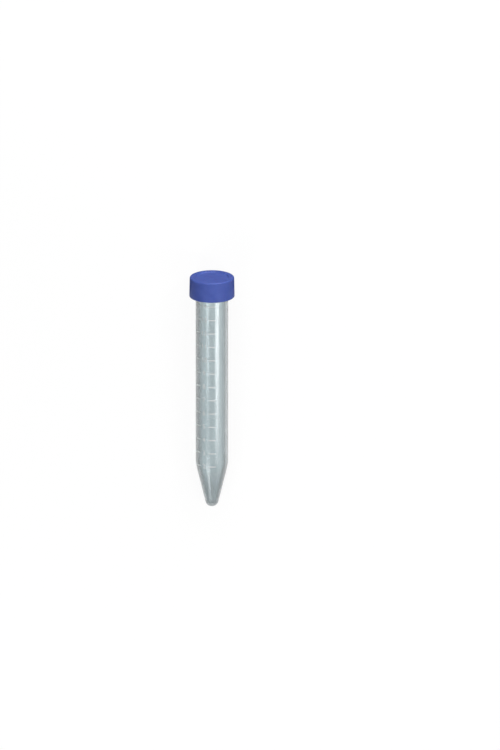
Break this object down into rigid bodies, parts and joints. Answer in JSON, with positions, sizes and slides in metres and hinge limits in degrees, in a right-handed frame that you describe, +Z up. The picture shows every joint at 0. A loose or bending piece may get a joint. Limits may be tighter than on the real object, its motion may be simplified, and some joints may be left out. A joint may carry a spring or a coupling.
{
  "type": "conical centrifuge tube",
  "caption": "Lab tube with a straight barrel, a conical bottom, a printed volume scale and a flat screw cap, lying on its side.",
  "frame": {"origin": "on the floor, under the middle of the lying tube's box", "axes": "+Z up; +Y along the tube from its tip to its cap, with the tube's own axis 2.1 degrees above it; +X to the right of the scale's front view"},
  "size_m": [0.0224, 0.1204, 0.0225],
  "materials": {
    "clear_plastic": "translucent moulded polypropylene",
    "blue_plastic": "satin moulded polyethylene",
    "seal": "soft closed-cell foam",
    "print": "white screen print"
  },
  "bodies": {
    "tube": {"tube": "clear_plastic", "scale_marks": "print"},
    "seal": {"seal_disc": "seal"},
    "cap": {"screw_cap": "blue_plastic"}
  },
  "joints": [
    {"name": "cap_lift", "type": "slide", "parent": "tube", "child": "seal", "axis": [0, 0.9993, 0.0367], "range_m": [0, 0.01]},
    {"name": "cap_turn", "type": "hinge", "parent": "seal", "child": "cap", "pos_m": [0, 0.05378, 0.01133], "axis": [0, 0.9993, 0.0367], "range_deg": [0, 1440]}
  ],
  "couplings": [
    {"joint": "cap_lift", "follows": "cap_turn", "m_per_rad": 0.00039789}
  ]
}
